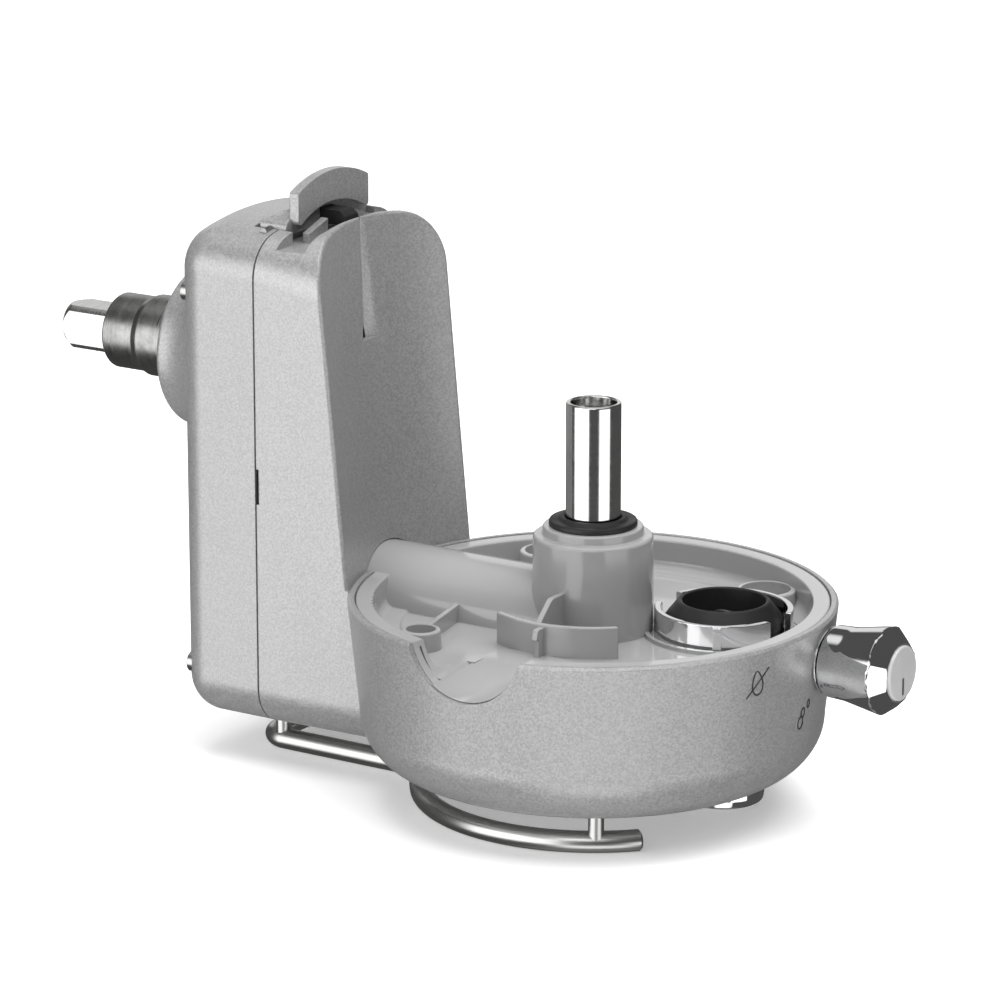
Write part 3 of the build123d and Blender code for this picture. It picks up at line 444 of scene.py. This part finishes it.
def tidy(mesh, angle=32.0):
    """Merges coincident vertices, points faces outwards and marks sharp edges."""
    bm = bmesh.new()
    bm.from_mesh(mesh)
    bmesh.ops.remove_doubles(bm, verts=bm.verts, dist=1e-6)
    bmesh.ops.dissolve_degenerate(bm, dist=1e-7, edges=bm.edges)
    bmesh.ops.recalc_face_normals(bm, faces=bm.faces)
    bm.to_mesh(mesh)
    bm.free()
    mesh.set_sharp_from_angle(angle=math.radians(angle))
    mesh.update()
    return mesh


def merged_copy(node, name):
    """Copy of a CAD node whose loose triangles are merged and shaded smooth up to sharp edges."""
    mesh = frame["nodes"][node].data.copy()
    mesh.name = name
    for layer in ("custom_normal", "sharp_face"):
        if layer in mesh.attributes:
            mesh.attributes.remove(mesh.attributes[layer])
    bm = bmesh.new()
    bm.from_mesh(mesh)
    bmesh.ops.remove_doubles(bm, verts=bm.verts, dist=2e-6)
    bm.to_mesh(mesh)
    bm.free()
    mesh.shade_smooth()
    mesh.set_sharp_from_angle(angle=math.radians(28))
    return mesh


def casting(node, name):
    """Finished copy of a CAD node with area-weighted normals, so flats stay flat beside their rounds."""
    slot = SLOT_OF[node]
    obj = piece(name, merged_copy(node, name), BODY_OF[node], slot, (node,))
    weighted = obj.modifiers.new("even_shading", "WEIGHTED_NORMAL")
    weighted.keep_sharp = True
    weighted.weight = 80
    return obj


# Operators

class BASE_OT_finish_inside(bpy.types.Operator):
    """Gives every CAD node the finish of its material slot"""

    bl_idname = "drivebase.finish_inside"
    bl_label = "Finish CAD nodes"

    def execute(self, context):
        for node, obj in frame["nodes"].items():
            obj.data.materials.clear()
            obj.data.materials.append(FINISHES[SLOT_OF[node]]())
        return {"FINISHED"}


class BASE_OT_castings(bpy.types.Operator):
    """Smooth finished housings, tray, lever and other moulded pieces"""

    bl_idname = "drivebase.castings"
    bl_label = "Housings, tray and latch"

    def execute(self, context):
        names = {"bowl_housing": "bowl_shell", "front_housing": "tower_front", "rear_housing": "tower_rear",
                 "tray": "inner_tray", "bowl_sockets": "foot_sockets", "latch_lever": "release_lever",
                 "latch_hook": "catch_hook", "collar_ring": "chrome_collar", "input_shaft": "square_shaft"}
        for node, name in names.items():
            casting(node, name)
        spring = casting("latch_spring", "catch_spring")
        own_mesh(spring)
        return {"FINISHED"}


class BASE_OT_chute(bpy.types.Operator):
    """Smooth channel that leads from the tray's floor down to the round notch in the rim"""

    bl_idname = "drivebase.chute"
    bl_label = "Pour channel"

    def execute(self, context):
        """Height is the notch's circle at the rim, eased into a flat bed towards the hub.

        With s the eased share of the way in, height = (lift - sqrt(R^2 - across^2)) (1 - s) + bed s.
        Lengths are millimetres from the centre of the bowl's rim.
        """
        mouth, inner, ease = -86.2, -40, 44
        notch, lift, bed = 23.7, 6, -11.6
        rows, columns = np.linspace(mouth, inner, 60), np.linspace(-18.5, 13.5, 70)
        along, across = np.meshgrid(rows, columns, indexing="ij")
        share = np.clip((along - mouth) / ease, 0, 1)
        share = share * share * (3 - 2 * share)
        cup = lift - np.sqrt(notch ** 2 - across ** 2)
        height = cup * (1 - share) + bed * share
        points = np.stack([along * MM + BOWL_X, across * MM + BOWL_Y, height * MM + RIM_Z], -1)
        piece("pour_channel", tidy(grid(points, False, name="pour_channel")), "root", "tray_grey")
        return {"FINISHED"}


class BASE_OT_spindle(bpy.types.Operator):
    """Polished drive shaft with its mouth, and the black seal at its foot"""

    bl_idname = "drivebase.spindle"
    bl_label = "Drive shaft and seal"

    def execute(self, context):
        top, foot = SPINDLE_HIGH.z, SPINDLE_LOW.z
        outer = SPINDLE_HIGH.x - BOWL_X
        bore, journal, run, hole = outer - 1.7 * MM, 8 * MM, outer - 0.6 * MM, 4.3 * MM
        step, shoulder = foot + 32.2 * MM, foot + 88 * MM
        seat, end = top - 9 * MM, top - 30 * MM
        line = [(0, foot), (journal, foot), (journal, step), (run, step), (run, shoulder), (outer, shoulder),
                (outer, top), (bore, top), (bore, seat), (hole, seat), (hole, end), (0, end)]
        radii = np.array([0, 0.8, 0, 0.3, 0, 0, 0.75, 0.6, 0.3, 0.2, 0, 0]) * MM
        mesh = lathe(rounded_line(line, radii, 6), (BOWL_X, BOWL_Y), name="drive_shaft")
        piece("drive_shaft", mesh, "drive", "polished_steel", ("spindle",))
        low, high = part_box("spindle_seal")
        wide, bore = high.x - BOWL_X, outer + 0.35 * MM
        step = low.z + 2.2 * MM
        line = [(bore, low.z), (wide, low.z), (wide, step), (bore + 2.6 * MM, step),
                (bore + 1.5 * MM, high.z), (bore, high.z), (bore, low.z)]
        radii = np.array([0, 0.35, 0.8, 0.6, 0.4, 0.3, 0]) * MM
        mesh = lathe(rounded_line(line, radii, 6), (BOWL_X, BOWL_Y), name="lip_seal")
        piece("lip_seal", mesh, "root", "black_rubber", ("spindle_seal",))
        return {"FINISHED"}


class BASE_OT_tap(bpy.types.Operator):
    """Black cup gasket and chrome nozzle of the juice tap"""

    bl_idname = "drivebase.tap"
    bl_label = "Cup gasket and nozzle"

    def execute(self, context):
        low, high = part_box("outlet_gasket")
        wide, hole, lip, crest = high.x - TAP.x, 15.3 * MM, 17.0 * MM, 16.3 * MM
        line = [(hole, low.z), (wide, low.z), (wide, low.z + 2 * MM), (wide - 1.3 * MM, low.z + 3.8 * MM),
                (lip, high.z - 0.5 * MM), (crest, high.z), (hole, high.z - 0.3 * MM),
                (hole, low.z + 4 * MM), (hole, low.z)]
        radii = np.array([0, 0.3, 0.6, 1.4, 0.9, 0.4, 0.45, 0, 0]) * MM
        mesh = lathe(rounded_line(line, radii, 6), (TAP.x, TAP.y), name="cup_gasket")
        piece("cup_gasket", mesh, "root", "black_rubber", ("outlet_gasket",))
        low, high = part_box("outlet_nozzle")
        wide, bore = high.x - TAP.x, 12 * MM
        groove = wide - 0.4 * MM
        line = [(bore, low.z), (wide - 0.5 * MM, low.z), (wide, low.z + 3 * MM), (wide, low.z + 8.6 * MM),
                (groove, low.z + 9 * MM), (groove, high.z), (bore, high.z), (bore, low.z)]
        radii = np.array([0.8, 1.4, 1.5, 0.2, 0.2, 0.3, 0.3, 0.8]) * MM
        mesh = lathe(rounded_line(line, radii, 6), (TAP.x, TAP.y), name="chrome_nozzle")
        piece("chrome_nozzle", mesh, "root", "chrome", ("outlet_nozzle",))
        return {"FINISHED"}


class BASE_OT_knob(bpy.types.Operator):
    """Flared chrome knob with soft facets, its end disc with a pointer line, and the collar behind it"""

    bl_idname = "drivebase.knob"
    bl_label = "Tap knob"

    def execute(self, context):
        shape = context.scene.base_shape
        low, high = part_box("knob")
        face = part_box("knob_disc")[0].y
        back, front = high.y, low.y
        widest = (high.x - low.x) / 2
        centre = (TAP.x, 0.0, KNOB.z)
        step = 2 * math.pi / shape.facets
        core, foot, slope = 10.5 * MM, 10.6 * MM, 0.98

        def flute(radius, place, angle):
            """Cuts the rounded end with slanting flats.

            The radius is the lesser of the round one and flat / cos(turn), where flat = foot + slope * depth
            and turn is the angle from the middle of the nearest flat.
            """
            turn = (angle + step / 2) % step - step / 2
            flat = np.maximum(foot + (place - front) * slope, core)
            return np.where(radius > core, np.minimum(radius, flat / np.cos(turn)), radius)

        stem, seat, recess = 2.6 * MM, 10.45 * MM, front + 1.2 * MM
        line = [(stem, back), (13.2 * MM, back), (13.6 * MM, back - 8 * MM), (widest, front + 4.6 * MM),
                (widest - 2.2 * MM, front + 0.9 * MM), (10.75 * MM, front), (seat, front),
                (seat, recess), (stem, recess), (stem, back)]
        radii = np.array([0, 1.3, 16, 1.6, 0.6, 0.3, 0.2, 0, 0, 0]) * MM
        profile = rounded_line(line, radii, 8)
        gaps = np.linalg.norm(np.diff(profile, axis=0), axis=1)
        parts = [np.linspace(a, b, max(int(gap / (0.5 * MM)), 1), endpoint=False)
                 for a, b, gap in zip(profile[:-1], profile[1:], gaps)]
        profile = np.concatenate(parts + [profile[-1:]])
        mesh = lathe(profile, centre, "Y", 240, flute, "chrome_knob")
        piece("chrome_knob", mesh, "tap", "chrome", ("knob",))
        casting("knob_disc", "knob_face")
        across, down = np.meshgrid([-0.5 * MM, 0.5 * MM], np.linspace(-8.6, -1.9, 8) * MM, indexing="ij")
        points = np.stack([across + TAP.x, np.full_like(across, face + 0.12 * MM), down + KNOB.z], -1)
        mesh = tidy(grid(points, False, name="pointer_mark"))
        piece("pointer_mark", mesh, "tap", "black_plastic", (), print_ink)
        low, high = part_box("knob_collar")
        wide = (high.x - low.x) / 2
        bore, neck, flange = 3.05 * MM, 11 * MM, low.y + 0.7 * MM
        line = [(bore, high.y), (neck, high.y), (neck, flange), (wide, flange), (wide, low.y), (bore, low.y),
                (bore, high.y)]
        radii = np.array([0, 0.4, 0, 0.2, 0.25, 0, 0]) * MM
        mesh = lathe(rounded_line(line, radii, 4), centre, "Y", None, None, "wall_collar")
        piece("wall_collar", mesh, "root", "chrome", ("knob_collar",))
        return {"FINISHED"}


class BASE_OT_hub(bpy.types.Operator):
    """Scuffed steel sleeve that plugs into the mixer"""

    bl_idname = "drivebase.hub"
    bl_label = "Hub sleeve"

    def execute(self, context):
        low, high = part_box("hub_sleeve")
        end = high.y
        flange, thick, root, nose, bore = high.x - BOWL_X, 16.2 * MM, 15.7 * MM, 14.5 * MM, 11 * MM
        face, shoulder = low.y + 4.3 * MM, end - 38 * MM
        line = [(bore, low.y), (flange, low.y), (flange, face), (thick, face), (thick, shoulder),
                (root, shoulder), (root, end - 17 * MM), (nose, end - 14 * MM), (nose, end), (bore, end),
                (bore, low.y)]
        radii = np.array([0, 0.5, 0.3, 0, 0, 0, 0.6, 0.6, 0.9, 0.5, 0]) * MM
        mesh = lathe(rounded_line(line, radii, 6), (BOWL_X, 0, HUB_Z), "Y", None, None, "mixer_sleeve")
        piece("mixer_sleeve", mesh, "root", "turned_steel", ("hub_sleeve",))
        return {"FINISHED"}


class BASE_OT_stand(bpy.types.Operator):
    """Bent wire stand, swept along its own path"""

    bl_idname = "drivebase.stand"
    bl_label = "Wire stand"

    def execute(self, context):
        """Half the path is an arc and a rounded leg, mirrored to the other side; its ends are chamfered."""
        radius = (WIRE_HIGH.z - WIRE_LOW.z) / 2
        height = (WIRE_HIGH.z + WIRE_LOW.z) / 2
        loop = WIRE_HIGH.x - BOWL_X - radius
        leg = 16.5 * MM
        back = WIRE_HIGH.y - radius
        turn = math.atan2(52.3, -37.6)  # where the round part meets the straight legs
        start = math.radians(228)
        sweep = np.linspace(start, turn, 90)
        arc = np.stack([BOWL_X + loop * np.cos(sweep), BOWL_Y + loop * np.sin(sweep)], -1)
        bend = arc[-1]
        slope = -math.cos(turn) / math.sin(turn)
        knee = bend[1] + (abs(bend[0] - BOWL_X) - leg) * slope
        corner = [(bend[0], bend[1]), (BOWL_X - leg, knee), (BOWL_X - leg, back), (BOWL_X, back)]
        legs = rounded_line(corner, np.array([0, 11, 9, 0]) * MM, 14)
        dense = [np.linspace(a, b, 6, endpoint=False) for a, b in zip(legs[:-1], legs[1:])]
        left = np.concatenate([arc[:-1]] + dense)
        right = left[::-1] * (-1, 1) + (2 * BOWL_X, 0)
        path = np.concatenate([left, np.array([[BOWL_X, back]]), right])
        step = np.linalg.norm(np.diff(path, axis=0), axis=1)
        path = path[np.concatenate([[True], step > 1e-6])]
        side = np.gradient(path, axis=0)
        side /= np.linalg.norm(side, axis=1)[:, None]
        normal = np.stack([-side[:, 1], side[:, 0]], -1)
        angle = np.linspace(0, 2 * np.pi, 40, endpoint=False)
        trim = 0.9 * MM
        path = np.concatenate([path[:1], path[:1] + side[:1] * trim, path[1:-1],
                               path[-1:] - side[-1:] * trim, path[-1:]])
        normal = np.concatenate([normal[:1], normal[:1], normal[1:-1], normal[-1:], normal[-1:]])
        size = np.full(len(path), radius)
        size[[0, -1]] = radius - trim
        flat = path[:, None] + normal[:, None] * (size[:, None] * np.cos(angle))[..., None]
        lift = height + size[:, None] * np.sin(angle)
        points = np.concatenate([flat, lift[..., None]], -1)
        mesh = tidy(grid(points, True, False, (True, True), name="stand_wire"))
        piece("stand_wire", mesh, "root", "satin_wire", ("wire_stand",))
        return {"FINISHED"}


def on_wall(across, up):
    """Point just off the bowl's outer wall, whose radius shrinks by a tenth of the depth below the rim."""
    radius = 90 * MM + 0.06 * MM + up * 0.1
    y = -np.sqrt(radius ** 2 - across ** 2)
    return np.stack([across + BOWL_X, y + BOWL_Y, up + RIM_Z], -1)


def ink_stroke(path, width):
    """Strip along a path drawn on the wall, half a width to either side."""
    side = np.gradient(path, axis=0)
    side /= np.linalg.norm(side, axis=1)[:, None]
    normal = np.stack([-side[:, 1], side[:, 0]], -1)
    share = np.linspace(-0.5, 0.5, 4)
    flat = path[:, None] + normal[:, None] * (share * width)[None, :, None]
    return on_wall(flat[..., 0], flat[..., 1])


class BASE_OT_pictograms(bpy.types.Operator):
    """Printed position marks beside the knob: a crossed-out drop for closed, two drops for open"""

    bl_idname = "drivebase.pictograms"
    bl_label = "Position marks"

    def execute(self, context):
        """The crossed drop is x = wide sin(a) sin(a / 2)^0.7, y = tall / 2 cos(a), turned by a lean."""
        t = np.linspace(0, 1, 40)
        width = 0.62 * MM
        tall, wide, lean = 9.6 * MM, 2.9 * MM, 0.2
        centre = np.array([-26.0, -11.9]) * MM
        angle = np.radians(np.linspace(14, 346, 60))
        drop_x = np.sin(angle) * wide * np.sin(angle / 2) ** 0.7
        drop = np.stack([drop_x, np.cos(angle) * tall / 2], -1)
        turned = [[math.cos(lean), math.sin(lean)], [-math.sin(lean), math.cos(lean)]]
        drop = drop @ np.array(turned) + centre
        slash = np.stack([-30.4 + 9.2 * t, -17.2 + 10.2 * t], -1) * MM
        strokes = [drop, slash]
        for x, y, r, squeeze in ((2.4, -34.2, 2.3, 1.0), (3.6, -30.6, 1.7, 1.0), (7.4, -28.2, 1.2, 1.25)):
            turn = 2 * np.pi * t
            strokes.append(np.stack([x + r * 0.8 * np.cos(turn), y + r * squeeze * np.sin(turn)], -1) * MM)
        for number, path in enumerate(strokes):
            mesh = grid(ink_stroke(path, width), False, name=f"mark_{number}")
            obj = piece(f"position_mark_{number}", mesh, "root", "black_plastic", (), print_ink)
            obj.modifiers.new("ink", "SOLIDIFY").thickness = 0.05 * MM
        return {"FINISHED"}


def towards(azimuth, elevation):
    """Unit vector in a direction: azimuth 0 looks along -Y and grows towards +X."""
    level = math.cos(elevation)
    return Vector((math.sin(azimuth) * level, -math.cos(azimuth) * level, math.sin(elevation)))


class BASE_OT_stage(bpy.types.Operator):
    """Camera, soft studio lights, and a pale floor that curves up behind"""

    bl_idname = "drivebase.stage"
    bl_label = "Studio"

    def execute(self, context):
        s = context.scene.base_studio
        target = Vector((BOWL_X, BOWL_Y, RIM_Z))
        away = towards(s.azimuth, s.elevation)
        data = bpy.data.cameras.new("camera")
        data.lens, data.sensor_width, data.clip_end = s.lens, SENSOR, 50
        camera = bpy.data.objects.new("camera", data)
        camera.location = target + away * s.distance
        yaw = math.atan2(-away.x, -away.y) - math.atan(AIM_ASIDE) / math.cos(s.elevation)
        pitch = math.atan(AIM_ABOVE) - s.elevation
        camera.rotation_euler = (math.pi / 2 + pitch, 0, -yaw)
        context.scene.collection.objects.link(camera)
        context.scene.camera = camera
        context.scene.view_settings.view_transform = "Standard"
        self.floor(context, s)
        self.lights(context, s, target)
        self.world(context)
        return {"FINISHED"}

    def floor(self, context, s):
        """Floor with a quarter-round rise far behind the object, as seen from the camera."""
        ground = WIRE_LOW.z - 0.2 * MM
        near, far, cove, wall = -4, 3.2, 1.5, 4
        quarter = np.linspace(0.1, 1, 14) * math.pi / 2
        run = np.concatenate([np.linspace(near, far, 12), far + cove * np.sin(quarter)])
        rise = np.concatenate([np.zeros(12), cove - cove * np.cos(quarter)])
        run, rise = np.append(run, run[-1]), np.append(rise, rise[-1] + wall)
        across = np.linspace(-5, 5, 12)
        forward = np.array([-math.sin(s.azimuth), math.cos(s.azimuth)])
        side = np.array([forward[1], -forward[0]])
        flat = run[:, None, None] * forward + across[None, :, None] * side
        height = np.broadcast_to((rise + ground)[:, None, None], flat.shape[:2] + (1,))
        mesh = grid(np.concatenate([flat, height], -1), False, name="floor")

        def build(g):
            return {"Base Color": g.tint(g.noise(3.0, 2.0), tuple(s.floor), 0.985, 1.015),
                    "Roughness": g.spread(g.noise(40.0, 2.0), 0.55, 0.65)}

        paper = material("floor_paper", build, Emission_Color=(1, 1, 1, 1), Emission_Strength=0.3)
        mesh.materials.append(paper)
        floor = bpy.data.objects.new("floor", mesh)
        context.scene.collection.objects.link(floor)
        floor.visible_glossy = False

    def lights(self, context, s, target):
        """Large soft area lights aimed at the object."""
        rows = [("key", -66, 34, 1.5, 0.7, 0.6, s.key),
                ("side", -112, 18, 1.5, 0.7, 1.0, s.side),
                ("top", 20, 80, 1.4, 1.6, 1.6, s.top)]
        for name, azimuth, elevation, distance, wide, tall, power in rows:
            away = towards(math.radians(azimuth), math.radians(elevation))
            data = bpy.data.lights.new(name, "AREA")
            data.shape, data.size, data.size_y, data.energy = "RECTANGLE", wide, tall, power
            light = bpy.data.objects.new(name, data)
            light.visible_glossy = name != "top"
            light.location = target + away * distance
            light.rotation_euler = away.to_track_quat("Z", "Y").to_euler()
            context.scene.collection.objects.link(light)

    def world(self, context):
        """Room seen in the metal: bright panels on a dark surround, by their directions in degrees."""
        world = bpy.data.worlds.new("studio")
        world.use_nodes = True
        context.scene.world = world
        g = Graph(world.node_tree)
        direction = g.add("ShaderNodeTexCoord").outputs["Generated"]
        axes = g.add("ShaderNodeSeparateXYZ", {"Vector": direction}).outputs
        around = g.calc("ARCTAN2", axes["X"], g.calc("MULTIPLY", axes["Y"], number=-1.0))
        height = g.calc("ARCSINE", axes["Z"])

        def edge(value, at, soft, rising):
            """Smooth step from 0 to 1 at a direction, or from 1 to 0."""
            at, soft = math.radians(at), math.radians(soft)
            low, high = (0, 1) if rising else (1, 0)
            values = {"From Min": at - soft, "From Max": at + soft, "To Min": low, "To Max": high}
            node = g.add("ShaderNodeMapRange", {"Value": value}, values, interpolation_type="SMOOTHSTEP")
            return node.outputs[0]

        total = None
        for left, right, low, high, soft, level in PANELS:
            value = edge(around, left, soft, True)
            for part in (edge(around, right, soft, False), edge(height, low, soft, True),
                         edge(height, high, soft, False)):
                value = g.calc("MULTIPLY", value, part)
            value = g.calc("MULTIPLY", value, number=level)
            total = value if total is None else g.calc("MAXIMUM", total, value)
        total = g.calc("MAXIMUM", total, number=ROOM_LEVEL)
        background = world.node_tree.nodes["Background"]
        world.node_tree.links.new(total, background.inputs["Color"])
        background.inputs["Strength"].default_value = 1.0


OPERATORS = [BASE_OT_stage, BASE_OT_finish_inside, BASE_OT_castings, BASE_OT_chute, BASE_OT_spindle,
             BASE_OT_tap, BASE_OT_knob, BASE_OT_hub, BASE_OT_stand, BASE_OT_pictograms]


class BASE_PT_panel(bpy.types.Panel):
    """Lists the pieces' operators"""

    bl_idname = "BASE_PT_panel"
    bl_label = "Drive base"
    bl_space_type = "VIEW_3D"
    bl_region_type = "UI"
    bl_category = "Drive Base"

    def draw(self, context):
        for operator in OPERATORS:
            self.layout.operator(operator.bl_idname)


GROUPS = {"base_finish": FinishSettings, "base_shape": ShapeSettings, "base_studio": StudioSettings}


def register():
    for name, group in GROUPS.items():
        bpy.utils.register_class(group)
        setattr(bpy.types.Scene, name, PointerProperty(type=group))
    for cls in OPERATORS + [BASE_PT_panel]:
        bpy.utils.register_class(cls)


def unregister():
    for cls in [BASE_PT_panel] + OPERATORS[::-1]:
        bpy.utils.unregister_class(cls)
    for name, group in GROUPS.items():
        delattr(bpy.types.Scene, name)
        bpy.utils.unregister_class(group)


def main():
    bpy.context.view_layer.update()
    register()
    for operator in OPERATORS:
        family, name = operator.bl_idname.split(".")
        getattr(getattr(bpy.ops, family), name)()


if __name__ == "__main__":
    main()
